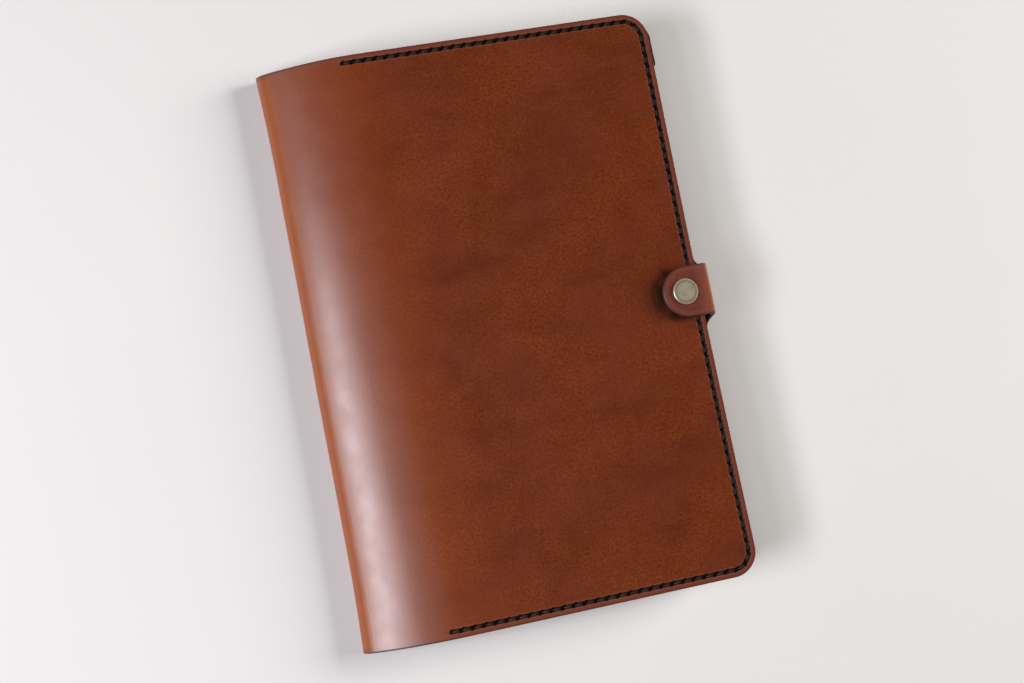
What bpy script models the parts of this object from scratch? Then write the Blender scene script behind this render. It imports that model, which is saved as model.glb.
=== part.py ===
"""Leather notebook cover, closed and snapped shut around a soft-cover notebook.

The cover lies on its back. X runs from the spine to the fore edge, Y from tail to head and Z up. One leather
blank makes the front, the spine, the back, the closure strap and its tab: it is described flat, by its length
from the front cover's fore edge and by Y, and then bent along a path in the XZ plane. The blank is divided at
its folds, so that each part can turn about the fold next to it.

Lengths below are in millimetres and angles in degrees. The finished objects are in metres.
"""

import math

import bmesh
import bpy
from mathutils import Matrix, Vector

METRES = 0.001

# The leather blank
COVER_HEIGHT = 222.0
LEATHER = 2.2
CORNER_RADIUS = 10.0
FRONT_FLAT = 113.9
CROWN_RADIUS = 60.0
CROWN_TURN = 37.0
SPINE_RADIUS = 4.3
BACK_FLAT = 152.5

# The closure: an integral strap that rises from the back cover and ends in the tab
STRAP_WIDTH = 19.8
STRAP_Y = -0.4
ROOT_FILLET = 7.0
STRAP_RADIUS = 4.0
STRAP_TURN = 107.0
STRAP_RISE = 14.6
TAB_RADIUS = 3.6
TAB_TURN = 49.0
TAB_RAMP = 4.2
TAB_LEVEL_RADIUS = 4.0
TAB_LEVEL_TURN = 21.0
TAB_FLAT = 13.3
SNAP_FROM_LEVEL = 4.5

# The snap: heights are from the outer face of the leather that each half clamps
CAP_RADIUS = 5.0
CAP_HEIGHT = 1.35
POST_RADIUS = 1.2
POST_DEPTH = 2.2
SOCKET_RADIUS = 4.6
SOCKET_BORE_RADIUS = 3.15
SOCKET_DEPTH = 3.4
SOCKET_SEAT = 0.3
SPRING_RADIUS = 2.72
SPRING_WIRE_RADIUS = 0.18
SPRING_DEPTH = 2.75
SPRING_TURN = 330.0
STUD_FLANGE_RADIUS = 2.8
STUD_NECK_RADIUS = 2.05
STUD_HEAD_RADIUS = 2.35
STUD_HEIGHT = 1.35
EYELET_FLANGE_RADIUS = 2.9
EYELET_TUBE_RADIUS = 1.5
EYELET_HEIGHT = 1.1

# Pockets and stitching
LINING = 1.4
LAYER_GAP = 0.3
POCKET_EDGE_X = 30.0
SEAM_START_X = 31.0
SEAM_INSET = 2.9
THREAD_RADIUS = 0.55
GROOVE_HALF_WIDTH = 0.85
FRONT_THREAD_DEPTH = 0.35
BACK_THREAD_DEPTH = 0.62
RIM_WIDTH = 3.4
RIM_RAMP = 2.4

# The notebook
CARD = 0.8
CARD_WIDTH = 130.3
CARD_HEIGHT = 210.0
CARD_CREASE = 8.0
CARD_CREASE_RADIUS = 50.0
CARD_SLOPE_WIDTH = 22.3
CARD_CORNER_RADIUS = 2.0
CARD_FOOT_RADIUS = 1.5
NOTEBOOK_SPINE_X = 17.7
PAGE_HEIGHT = 206.0
PAGE_FORE_EDGE_X = 146.6
PAGE_GAP = 0.2
SIGNATURES = 6
SPINE_LINER = 0.4
LINER_FOOT = 0.6
LINER_HEAD = 1.4
STEP_START = 4.5
STEP_END = 0.5

# Fineness
ARC_STEP = 8.0
FOLD_GAP = 0.15
METAL_GAP = 0.1
TURNED_STEPS = 32
SPRING_STEPS = 24
WIRE_STEPS = 6
BEYOND = 5.0


class Path:
    """A path in the XZ plane, of straight runs and left-hand arcs, with the leather's inside on its left."""

    def __init__(self, x, z, heading):
        self.runs = []
        self.length = 0.0
        self.end = (x, z, heading)

    def line(self, length):
        x, z, heading = self.end
        self.runs.append((self.length, length, x, z, heading, 0.0))
        angle = math.radians(heading)
        self.end = (x + length * math.cos(angle), z + length * math.sin(angle), heading)
        self.length += length
        return self

    def arc(self, radius, turn):
        x, z, heading = self.end
        length = radius * math.radians(turn)
        self.runs.append((self.length, length, x, z, heading, radius))
        start, stop = math.radians(heading), math.radians(heading + turn)
        x += radius * (math.sin(stop) - math.sin(start))
        z -= radius * (math.cos(stop) - math.cos(start))
        self.end = (x, z, heading + turn)
        self.length += length
        return self

    def at(self, s):
        """The point at length s along the path, and the heading there in radians."""
        for begin, length, x, z, heading, radius in self.runs:
            if s <= begin + length:
                break
        along, angle = s - begin, math.radians(heading)
        if not radius:
            return x + along * math.cos(angle), z + along * math.sin(angle), angle
        turned = angle + along / radius
        x += radius * (math.sin(turned) - math.sin(angle))
        z -= radius * (math.cos(turned) - math.cos(angle))
        return x, z, turned

    def place(self, s, y, depth):
        """The point at length s and height y, at this depth below the outer face of the sheet."""
        x, z, heading = self.at(s)
        return Vector((x - depth * math.sin(heading), y, z + depth * math.cos(heading)))

    def stations(self):
        """The lengths at which a flat sheet is divided so that it can follow the arcs."""
        cuts = []
        for begin, length, _, _, _, radius in self.runs:
            parts = math.ceil(math.degrees(length / radius) / ARC_STEP) if radius else 1
            cuts += [begin + length * i / parts for i in range(parts + 1)]
        return sorted(set(round(cut, 6) for cut in cuts))


def leather_path():
    """The outer face of the whole blank, with the lengths at its edges and at the middle of its folds."""
    crown = CROWN_RADIUS * math.radians(CROWN_TURN)
    spine_turn = 180.0 - CROWN_TURN
    spine = SPINE_RADIUS * math.radians(spine_turn)
    rise = CROWN_RADIUS * (1 - math.cos(math.radians(CROWN_TURN)))
    top = SPINE_RADIUS * (1 + math.cos(math.radians(CROWN_TURN))) + rise
    crown_x = SPINE_RADIUS * (1 - math.sin(math.radians(CROWN_TURN)))
    crown_x += CROWN_RADIUS * math.sin(math.radians(CROWN_TURN))
    path = Path(crown_x + FRONT_FLAT, top, 180.0)
    path.line(FRONT_FLAT).arc(CROWN_RADIUS, CROWN_TURN).arc(SPINE_RADIUS, spine_turn).line(BACK_FLAT)
    path.front_fold = FRONT_FLAT + crown / 2
    path.upper_fold = FRONT_FLAT + crown + spine / 4
    path.lower_fold = FRONT_FLAT + crown + spine * 3 / 4
    path.back_edge = path.length
    path.arc(STRAP_RADIUS, STRAP_TURN).line(STRAP_RISE)
    path.strap_fold = path.back_edge + STRAP_RADIUS * math.radians(STRAP_TURN) / 2
    path.tab_fold = path.length + TAB_RADIUS * math.radians(TAB_TURN) / 2
    path.arc(TAB_RADIUS, TAB_TURN).line(TAB_RAMP).arc(TAB_LEVEL_RADIUS, TAB_LEVEL_TURN)
    path.snap = path.length + SNAP_FROM_LEVEL
    path.line(TAB_FLAT)
    path.top = top
    return path


SHELL = leather_path()
HALF_HEIGHT = COVER_HEIGHT / 2
FRONT_EDGE_X = SHELL.at(0.0)[0]
BACK_EDGE_X = SHELL.at(SHELL.back_edge)[0]
OUTERMOST_X = BACK_EDGE_X + STRAP_RADIUS
CENTRE_X = OUTERMOST_X / 2


def length_at_front(x):
    """The length along the blank at which the front cover's outer face stands at this x."""
    crown_start = FRONT_EDGE_X - FRONT_FLAT
    if x >= crown_start:
        return FRONT_EDGE_X - x
    return FRONT_FLAT + CROWN_RADIUS * math.asin((crown_start - x) / CROWN_RADIUS)


def length_at_back(x):
    return SHELL.back_edge - (BACK_EDGE_X - x)


def arc_points(s, y, radius, start, stop, parts=8):
    """Points of an arc about (s, y), from one angle to another."""
    angles = [math.radians(start + (stop - start) * i / parts) for i in range(parts + 1)]
    return [(s + radius * math.cos(a), y + radius * math.sin(a)) for a in angles]


def blank_outline():
    """The flat blank: rounded corners at both fore edges, the strap's root fillets and the round tab."""
    inner = HALF_HEIGHT - CORNER_RADIUS
    half = STRAP_WIDTH / 2
    edge, tab_centre = SHELL.back_edge, SHELL.length - half
    root = half + ROOT_FILLET
    points = arc_points(CORNER_RADIUS, inner, CORNER_RADIUS, 180, 90)
    points += arc_points(edge - CORNER_RADIUS, inner, CORNER_RADIUS, 90, 0)
    points += arc_points(edge + ROOT_FILLET, STRAP_Y + root, ROOT_FILLET, 180, 270, 5)
    points += arc_points(tab_centre, STRAP_Y, half, 90, -90, 18)
    points += arc_points(edge + ROOT_FILLET, STRAP_Y - root, ROOT_FILLET, 90, 180, 5)
    points += arc_points(edge - CORNER_RADIUS, -inner, CORNER_RADIUS, 0, -90)
    points += arc_points(CORNER_RADIUS, -inner, CORNER_RADIUS, 270, 180)
    return points


def cut(bm, place, normal, clear=False):
    """Divides a mesh by a plane, and with clear removes what lies on the side that the normal points to."""
    geometry = bm.verts[:] + bm.edges[:] + bm.faces[:]
    bmesh.ops.bisect_plane(bm, geom=geometry, dist=1e-5, plane_co=place, plane_no=normal, clear_outer=clear)


def flat_sheet(outline):
    bm = bmesh.new()
    bm.faces.new([bm.verts.new((s, y, 0.0)) for s, y in outline])
    return bm


def bent_sheet(path, outline, begin, end, depth, thickness):
    """The part of a flat outline between two lengths, given its thickness and bent along the path."""
    bm = flat_sheet(outline)
    cut(bm, (begin, 0, 0), (-1, 0, 0), clear=True)
    cut(bm, (end, 0, 0), (1, 0, 0), clear=True)
    for station in path.stations():
        if begin + 1e-3 < station < end - 1e-3:
            cut(bm, (station, 0, 0), (1, 0, 0))
    bmesh.ops.connect_verts_concave(bm, faces=bm.faces[:])
    layer = bm.faces[:]
    raised = bmesh.ops.extrude_face_region(bm, geom=layer, use_keep_orig=True)
    tops = [item for item in raised["geom"] if isinstance(item, bmesh.types.BMVert)]
    for vert in tops:
        vert.co.z = 1.0
    for vert in bm.verts:
        vert.co = path.place(vert.co.x, vert.co.y, depth + vert.co.z * thickness)
    return bm


def leather_piece(begin, end):
    return bent_sheet(SHELL, blank_outline(), begin, end, 0.0, LEATHER)


def swept(path, route, section):
    """A closed section, of (sideways, depth) points, swept along a route that lies on a bent sheet."""
    bm = bmesh.new()
    rings = []
    for i, (s, y) in enumerate(route):
        before, after = route[max(i - 1, 0)], route[min(i + 1, len(route) - 1)]
        ahead = Vector((after[0] - before[0], after[1] - before[1])).normalized()
        side = Vector((-ahead.y, ahead.x))
        ring = [path.place(s + side.x * across, y + side.y * across, depth) for across, depth in section]
        rings.append([bm.verts.new(point) for point in ring])
    count = len(section)
    for first, second in zip(rings, rings[1:]):
        for i in range(count):
            j = (i + 1) % count
            bm.faces.new((first[i], first[j], second[j], second[i]))
    bm.faces.new(rings[0][::-1])
    bm.faces.new(rings[-1])
    return bm


def seam_route(edge, inward, start):
    """A seam that runs along the head, down the fore edge and back along the tail, on the flat blank."""
    radius = CORNER_RADIUS - SEAM_INSET
    corner, inner = edge + inward * CORNER_RADIUS, HALF_HEIGHT - CORNER_RADIUS
    level = HALF_HEIGHT - SEAM_INSET
    steps = range(9)
    cuts = [s for s in SHELL.stations() if min(start, corner) + 1 < s < max(start, corner) - 1]
    cuts.sort(reverse=inward > 0)
    head = [(s, level) for s in [start] + cuts]
    for i in steps:
        angle = math.radians(90.0 * i / 8)
        head.append((corner - inward * radius * math.sin(angle), inner + radius * math.cos(angle)))
    return head + [(s, -y) for s, y in reversed(head)]


def round_section(depth):
    angles = [math.tau * i / 8 for i in range(8)]
    return [(THREAD_RADIUS * math.cos(a), depth + THREAD_RADIUS * math.sin(a)) for a in angles]


def groove_section(floor):
    half = GROOVE_HALF_WIDTH
    return [(-half, -1.0), (half, -1.0), (half, floor), (-half, floor)]


def turned(profile):
    """A body of revolution about Z from (radius, height) points. A radius of 0 makes a pole."""
    bm = bmesh.new()
    rings = []
    for radius, height in profile:
        if radius == 0:
            rings.append([bm.verts.new((0, 0, height))])
            continue
        angles = [math.tau * i / TURNED_STEPS for i in range(TURNED_STEPS)]
        rings.append([bm.verts.new((radius * math.cos(a), radius * math.sin(a), height)) for a in angles])
    closed = profile[0][0] > 0 and profile[-1][0] > 0
    pairs = list(zip(rings, rings[1:])) + ([(rings[-1], rings[0])] if closed else [])
    for first, second in pairs:
        for i in range(TURNED_STEPS):
            j = (i + 1) % TURNED_STEPS
            corners = [first[i % len(first)], first[j % len(first)]]
            corners += [second[j % len(second)], second[i % len(second)]]
            bm.faces.new(list(dict.fromkeys(corners)))
    return bm


def slab(profile, half_height):
    """A polygon in XZ, extruded along Y to both sides of the middle."""
    bm = bmesh.new()
    face = bm.faces.new([bm.verts.new((x, -half_height, z)) for x, z in profile])
    raised = bmesh.ops.extrude_face_region(bm, geom=[face])
    verts = [item for item in raised["geom"] if isinstance(item, bmesh.types.BMVert)]
    bmesh.ops.translate(bm, verts=verts, vec=(0, 2 * half_height, 0))
    return bm


def material(name, colour, roughness, metallic=0.0):
    made = bpy.data.materials.new(name)
    made.use_nodes = True
    shader = made.node_tree.nodes["Principled BSDF"]
    shader.inputs["Base Color"].default_value = (*colour, 1.0)
    shader.inputs["Roughness"].default_value = roughness
    shader.inputs["Metallic"].default_value = metallic
    return made


def body(name, x, z, parent=None):
    """An empty on a fold's axis, which the pieces that turn about that fold hang from."""
    empty = bpy.data.objects.new(name, None)
    bpy.context.scene.collection.objects.link(empty)
    empty["place"] = (x, z)
    place = Vector(((x - CENTRE_X) * METRES, 0, z * METRES))
    if parent:
        empty.parent = parent
        above = parent["place"]
        place = Vector(((x - above[0]) * METRES, 0, (z - above[1]) * METRES))
    empty.location = place
    return empty


def piece(name, bm, finish, parent, smooth=0.0):
    """Adds a mesh, given in millimetres from the spine, under the body that it turns with."""
    bmesh.ops.recalc_face_normals(bm, faces=bm.faces[:])
    x, z = parent["place"]
    bm.transform(Matrix.Scale(METRES, 4) @ Matrix.Translation((-x, 0, -z)))
    mesh = bpy.data.meshes.new(name)
    bm.to_mesh(mesh)
    bm.free()
    mesh.materials.append(finish)
    if smooth:
        mesh.shade_smooth()
        mesh.set_sharp_from_angle(angle=math.radians(smooth))
    made = bpy.data.objects.new(name, mesh)
    bpy.context.scene.collection.objects.link(made)
    made.parent = parent
    return made


def cutter(name, bm, target):
    """A hidden shape that a Boolean takes out of a piece."""
    made = piece(name, bm, target.data.materials[0], target.parent)
    made.hide_render = True
    made.display_type = "WIRE"
    boolean = target.modifiers.new(name, "BOOLEAN")
    boolean.object = made
    boolean.operation = "DIFFERENCE"
    boolean.solver = "EXACT"


def stepped_hole(name, target, place, steps):
    """A hole of several diameters, from (radius, upper end) steps that are listed from the bottom up."""
    low = -BEYOND
    profile = [(0, low)]
    for radius, high in steps:
        profile += [(radius, low), (radius, high)]
        low = high
    bm = turned(profile + [(0, low)])
    bm.transform(place)
    cutter(name, bm, target)


def fold(length):
    return SHELL.at(length)[:2]


def make_bodies():
    """One body for each part of the blank, in the blank's order, hanging from the back cover."""
    back = body("back_body", 0.0, 0.0)
    edge = body("spine_edge_body", *fold(SHELL.lower_fold), back)
    slope = body("spine_slope_body", *fold(SHELL.upper_fold), edge)
    front = body("front_body", *fold(SHELL.front_fold), slope)
    strap = body("strap_body", *fold(SHELL.strap_fold), back)
    tab = body("tab_body", *fold(SHELL.tab_fold), strap)
    return front, slope, edge, back, strap, tab


def make_leather(finish, parents):
    """The blank's six parts, each ending just short of the middle of its folds."""
    marks = [SHELL.front_fold, SHELL.upper_fold, SHELL.lower_fold, SHELL.strap_fold, SHELL.tab_fold]
    names = ["front_cover", "spine_slope", "spine_edge", "back_cover", "strap", "closure_tab"]
    begins = [0.0] + [mark + FOLD_GAP for mark in marks]
    ends = [mark - FOLD_GAP for mark in marks] + [SHELL.length]
    made = {}
    for name, begin, end, parent in zip(names, begins, ends, parents):
        made[name] = piece(name, leather_piece(begin, end), finish, parent, smooth=30)
    return made


def make_seam(name, route, depth, target, finish):
    """A run of thread lying in the groove that is cut for it."""
    floor = depth + THREAD_RADIUS + LAYER_GAP
    cutter(name + "_groove", swept(SHELL, route, groove_section(floor)), target)
    ahead = Vector(route[1]) - Vector(route[0])
    back_off = ahead.normalized() * LAYER_GAP
    start = Vector(route[0]) + back_off
    inner = [tuple(start)] + route[1:-1] + [(start.x, -start.y)]
    piece(name, swept(SHELL, inner, round_section(depth)), finish, target.parent, smooth=60)


def make_front_lining(finish, front):
    depth = LEATHER + LAYER_GAP
    end = length_at_front(POCKET_EDGE_X)
    bm = bent_sheet(SHELL, blank_outline(), 0.0, end, depth, LINING)
    piece("front_pocket_lining", bm, finish, front, smooth=30)


def make_back_lining(finish, back):
    """The rear pocket's lining: its rim lies on the leather, and its field stands clear of the card."""
    inner = HALF_HEIGHT - CORNER_RADIUS
    corner = BACK_EDGE_X - CORNER_RADIUS
    outline = [(0.0, -HALF_HEIGHT)]
    outline += arc_points(corner, -inner, CORNER_RADIUS, 270, 360)
    outline += arc_points(corner, inner, CORNER_RADIUS, 0, 90)
    outline += [(0.0, HALF_HEIGHT)]
    bm = flat_sheet(outline)
    field = bm.faces[:]
    bmesh.ops.inset_region(bm, faces=field, thickness=RIM_WIDTH, use_even_offset=True)
    bmesh.ops.inset_region(bm, faces=field, thickness=RIM_RAMP, use_even_offset=True)
    low = LEATHER + LAYER_GAP
    for vert in {vert for face in field for vert in face.verts}:
        vert.co.z = CARD + LAYER_GAP
    cut(bm, (POCKET_EDGE_X, 0, 0), (-1, 0, 0), clear=True)
    raised = bmesh.ops.extrude_face_region(bm, geom=bm.faces[:], use_keep_orig=True)
    verts = [item for item in raised["geom"] if isinstance(item, bmesh.types.BMVert)]
    bmesh.ops.translate(bm, verts=verts, vec=(0, 0, LINING))
    bmesh.ops.translate(bm, verts=bm.verts[:], vec=(0, 0, low))
    piece("back_pocket_lining", bm, finish, back)


def spring_ring():
    """A ring of wire that is open on one side, about the Z axis."""
    bm = bmesh.new()
    rings = []
    around = [math.tau * k / WIRE_STEPS for k in range(WIRE_STEPS)]
    wire = SPRING_WIRE_RADIUS
    section = [Vector((SPRING_RADIUS + wire * math.cos(a), 0, wire * math.sin(a))) for a in around]
    for i in range(SPRING_STEPS + 1):
        angle = (360.0 - SPRING_TURN) / 2 + SPRING_TURN * i / SPRING_STEPS
        turn = Matrix.Rotation(math.radians(angle), 4, "Z")
        rings.append([bm.verts.new(turn @ point) for point in section])
    for first, second in zip(rings, rings[1:]):
        for k in range(WIRE_STEPS):
            j = (k + 1) % WIRE_STEPS
            bm.faces.new((first[k], second[k], second[j], first[j]))
    bm.faces.new(rings[0])
    bm.faces.new(rings[-1][::-1])
    return bm


def make_tab_half(brass, spring_steel, leather, tab):
    """The cap and the socket that clamp the tab between them, and the ring spring in the socket."""
    x, z, heading = SHELL.at(SHELL.snap)
    on_tab = Matrix.Translation((x, STRAP_Y, z)) @ Matrix.Rotation(math.pi - heading, 4, "Y")
    low = METAL_GAP
    cap = [(0, -POST_DEPTH), (POST_RADIUS, -POST_DEPTH), (POST_RADIUS, low), (CAP_RADIUS - 0.3, low)]
    cap += [(CAP_RADIUS, low + 0.3), (CAP_RADIUS - 0.05, low + 0.65), (CAP_RADIUS - 0.4, low + 0.95)]
    cap += [(3.6, low + 1.15), (2.2, low + 1.28), (0, low + CAP_HEIGHT)]
    bm = turned(cap)
    bm.transform(on_tab)
    piece("snap_cap", bm, brass, tab, smooth=35)

    ceiling = SOCKET_SEAT - LEATHER
    bore, outer = SOCKET_BORE_RADIUS, SOCKET_RADIUS
    socket = [(1.35, ceiling), (1.35, ceiling - 0.35), (bore, ceiling - 0.35), (bore, 0.2 - SOCKET_DEPTH)]
    socket += [(2.8, -SOCKET_DEPTH), (outer - 0.4, -SOCKET_DEPTH), (outer - 0.2, 0.2 - SOCKET_DEPTH)]
    socket += [(outer - 0.2, ceiling - 0.45), (outer, ceiling - 0.3), (outer, ceiling)]
    bm = turned(socket)
    bm.transform(on_tab)
    piece("snap_socket", bm, brass, tab, smooth=35)
    seat = [(SOCKET_RADIUS + 0.2, ceiling + METAL_GAP), (POST_RADIUS + 0.2, BEYOND)]
    stepped_hole("socket_seat", leather["closure_tab"], on_tab, seat)

    bm = spring_ring()
    bm.transform(on_tab @ Matrix.Translation((0, 0, -SPRING_DEPTH)))
    piece("snap_spring", bm, spring_steel, tab, smooth=60)


def make_cover_half(brass, leather, front):
    """The stud on the front cover's face and the eyelet that clamps it from behind."""
    on_cover = Matrix.Translation((SHELL.at(SHELL.snap)[0], STRAP_Y, SHELL.top))
    bore, neck, head = EYELET_TUBE_RADIUS + 0.15, STUD_NECK_RADIUS, STUD_HEAD_RADIUS
    stud = [(bore, -0.3), (STUD_FLANGE_RADIUS, -0.3), (STUD_FLANGE_RADIUS, 0.1), (neck, 0.1), (neck, 0.5)]
    stud += [(head, 0.7), (head, 1.1), (head - 0.4, STUD_HEIGHT), (bore, STUD_HEIGHT)]
    bm = turned(stud)
    bm.transform(on_cover)
    piece("snap_stud", bm, brass, front, smooth=35)

    low = METAL_GAP - LEATHER
    flange, tube = EYELET_FLANGE_RADIUS, EYELET_TUBE_RADIUS
    eyelet = [(0, low), (flange, low), (flange, low + 0.5), (tube, low + 0.5)]
    eyelet += [(tube, EYELET_HEIGHT), (0, EYELET_HEIGHT)]
    bm = turned(eyelet)
    bm.transform(on_cover)
    piece("snap_eyelet", bm, brass, front, smooth=35)
    seat = [(flange + 0.2, low + 0.5 + METAL_GAP), (tube + 0.3, -0.4), (STUD_FLANGE_RADIUS + 0.2, BEYOND)]
    stepped_hole("stud_seat", leather["front_cover"], on_cover, seat)


def notebook_path():
    """The outer face of the notebook's card: the front, bent down to the spine, the spine and the back."""
    low = LEATHER + LAYER_GAP
    top = SHELL.top - LEATHER - LINING - 2 * LAYER_GAP
    path = Path(NOTEBOOK_SPINE_X + CARD_WIDTH, top, 180.0)
    corner, foot = CARD_CORNER_RADIUS, CARD_FOOT_RADIUS
    path.line(CARD_WIDTH - CARD_SLOPE_WIDTH).arc(CARD_CREASE_RADIUS, CARD_CREASE)
    x, _, _ = path.end
    slope = math.radians(CARD_CREASE)
    path.line((x - NOTEBOOK_SPINE_X - corner * (1 - math.sin(slope))) / math.cos(slope))
    path.arc(corner, 90 - CARD_CREASE)
    path.line(path.end[1] - low - foot).arc(foot, 90.0).line(CARD_WIDTH - foot)
    return path


def make_notebook(card, paper, cloth, back):
    path = notebook_path()
    half = CARD_HEIGHT / 2
    outline = [(0, -half), (path.length, -half), (path.length, half), (0, half)]
    piece("notebook_cover", bent_sheet(path, outline, 0.0, path.length, 0.0, CARD), card, back, smooth=30)

    liner_x = NOTEBOOK_SPINE_X + CARD + LAYER_GAP
    pages_x = liner_x + SPINE_LINER + LAYER_GAP
    foot = LEATHER + LAYER_GAP + CARD + LAYER_GAP
    lifted = foot + LINING + LAYER_GAP
    inside = CARD + LAYER_GAP
    top = path.at(0.0)[1] - inside
    spine_top = path.at(path.runs[2][0] + path.runs[2][1])[1] - inside
    bend_x = path.runs[1][2]
    step_start, step_end = POCKET_EDGE_X - STEP_START, POCKET_EDGE_X - STEP_END
    columns = [
        (pages_x, foot, spine_top),
        (step_start, foot, spine_top + (top - spine_top) * (step_start - pages_x) / (bend_x - pages_x)),
        (step_end, lifted, spine_top + (top - spine_top) * (step_end - pages_x) / (bend_x - pages_x)),
        (bend_x, lifted, top),
        (PAGE_FORE_EDGE_X, lifted, top),
    ]
    for number in range(SIGNATURES):
        lower, upper = [], []
        for x, floor, ceiling in columns:
            pitch = (ceiling - floor + PAGE_GAP) / SIGNATURES
            lower.append((x, floor + number * pitch))
            upper.append((x, floor + (number + 1) * pitch - PAGE_GAP))
        bm = slab(lower + upper[::-1], PAGE_HEIGHT / 2)
        piece(f"page_section_{number + 1}", bm, paper, back)
    ends = [(liner_x, foot + LINER_FOOT), (liner_x + SPINE_LINER, foot + LINER_FOOT)]
    ends += [(liner_x + SPINE_LINER, spine_top - LINER_HEAD), (liner_x, spine_top - LINER_HEAD)]
    piece("spine_liner", slab(ends, PAGE_HEIGHT / 2), cloth, back)


def main():
    for old in list(bpy.data.objects):
        bpy.data.objects.remove(old)
    tan = material("tan_leather", (0.19, 0.045, 0.016), 0.38)
    suede = material("lining_leather", (0.24, 0.085, 0.035), 0.75)
    waxed = material("waxed_thread", (0.012, 0.01, 0.01), 0.5)
    brass = material("antique_brass", (0.42, 0.36, 0.2), 0.3, 1.0)
    steel = material("spring_steel", (0.55, 0.55, 0.55), 0.3, 1.0)
    card = material("notebook_card", (0.035, 0.03, 0.028), 0.6)
    paper = material("paper", (0.8, 0.76, 0.66), 0.85)
    cloth = material("binding_cloth", (0.7, 0.68, 0.6), 0.9)

    bodies = make_bodies()
    leather = make_leather(tan, bodies)
    front, _, _, back, _, tab = bodies
    front_seam = seam_route(0.0, 1, length_at_front(SEAM_START_X))
    back_seam = seam_route(SHELL.back_edge, -1, length_at_back(SEAM_START_X))
    make_seam("front_seam_thread", front_seam, FRONT_THREAD_DEPTH, leather["front_cover"], waxed)
    make_seam("back_seam_thread", back_seam, BACK_THREAD_DEPTH, leather["back_cover"], waxed)
    make_front_lining(suede, front)
    make_back_lining(suede, back)
    make_tab_half(brass, steel, leather, tab)
    make_cover_half(brass, leather, front)
    make_notebook(card, paper, cloth, back)


main()
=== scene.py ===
"""The looks of a leather notebook cover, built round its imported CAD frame.

The leather is one blank. It is described flat, by y and by the length s from the front cover's fore edge
round the spine to the end of the tab, and is then bent along the profile of its outer face. Lengths are in
millimetres and angles in degrees. In the frame, +X runs to the fore edge, +Y to the head and +Z up.
"""

import math
import random

import bmesh
import bpy
import numpy as np
from mathutils import Matrix, Vector, noise


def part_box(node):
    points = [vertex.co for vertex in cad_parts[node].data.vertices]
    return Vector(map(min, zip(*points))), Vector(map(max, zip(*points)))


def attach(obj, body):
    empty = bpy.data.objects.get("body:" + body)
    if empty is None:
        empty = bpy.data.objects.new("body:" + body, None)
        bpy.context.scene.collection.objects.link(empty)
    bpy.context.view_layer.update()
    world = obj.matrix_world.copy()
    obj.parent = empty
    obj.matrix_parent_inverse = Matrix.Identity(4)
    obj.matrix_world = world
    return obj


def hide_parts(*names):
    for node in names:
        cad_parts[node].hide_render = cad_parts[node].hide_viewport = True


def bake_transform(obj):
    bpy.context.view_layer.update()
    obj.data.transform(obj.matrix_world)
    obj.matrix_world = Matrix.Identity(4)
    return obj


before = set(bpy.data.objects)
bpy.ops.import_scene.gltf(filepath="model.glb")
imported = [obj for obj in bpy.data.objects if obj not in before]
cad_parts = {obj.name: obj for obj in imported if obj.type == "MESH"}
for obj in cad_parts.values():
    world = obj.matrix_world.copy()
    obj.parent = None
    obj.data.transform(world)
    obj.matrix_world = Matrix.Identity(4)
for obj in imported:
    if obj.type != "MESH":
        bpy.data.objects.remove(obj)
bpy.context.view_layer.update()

# A millimetre in metres, and the millimetres in one unit of a flat UV map
METRES = 0.001
UV_UNIT = 100.0


def low(node):
    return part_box(node)[0] / METRES


def high(node):
    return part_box(node)[1] / METRES


# The leather blank, as the frame has it
LEATHER = 2.2
CORNER_RADIUS = 10.0
CROWN_RADIUS, CROWN_TURN = 60.0, 37.0
SPINE_RADIUS, SPINE_TURN = 4.3, 143.0
STRAP_RADIUS, STRAP_TURN, STRAP_RISE = 4.0, 107.0, 14.6
TAB_RADIUS, TAB_TURN, TAB_RAMP = 3.6, 49.0, 4.2
LEVEL_RADIUS, LEVEL_TURN = 4.0, 21.0
TAB_FLAT, SNAP_FROM_END = 13.3, 8.8
ROOT_FILLET = 7.0
HALF_HEIGHT = high("back_cover").y
HALF_STRAP = (high("closure_tab").y - low("closure_tab").y) / 2
STRAP_Y = (high("closure_tab").y + low("closure_tab").y) / 2
SPINE_X = low("spine_edge").x
FRONT_EDGE_X = high("front_cover").x
BACK_EDGE_X = high("back_pocket_lining").x

# Rounded edges, with a wider bevel round the tab
GRAIN_ROUND = 0.55
FLESH_ROUND = 0.35
TAB_BEVEL, TAB_BEVEL_DROP = 1.3, 0.6

# The pockets. The front lining stands proud of the fore edge, less and less round the corners. Below the head
# corner it has slipped out further. Over LINING_STEP it slips out a little more, and then steps back.
LINING = 1.4
LINING_ROUND, LINING_FACE_ROUND = 0.35, 0.2
GLUE_LINE = 0.06
LINING_PROUD, PROUD_FADE = 0.32, 1.5
LINING_SLIP, LINING_STEP = 1.2, (6.0, 11.0)
POCKET_EDGE_X = low("front_pocket_lining").x
POCKET_GAP, POCKET_GAP_REACH = 1.1, 3.2
MOUTH_CREASE, CREASE_WIDTH, CREASE_DEPTH = 3.0, 0.7, 0.16

# The seams: stitches that slant in a pressed groove, and slits that lean with them
SEAM_START, SEAM_INSET, SEAM_OVERRUN = 1.0, 2.9, 0.4
STITCH_PITCH, STITCH_GAP = 4.26, 0.2
STITCH_RADIUS = 0.74
STITCH_SLANT = 0.38
STITCH_RINGS, STITCH_SIDES = 9, 10
SLIT_LEAN = 0.16
GROOVE_WIDTH, GROOVE_DEPTH = 1.2, 0.32

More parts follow.
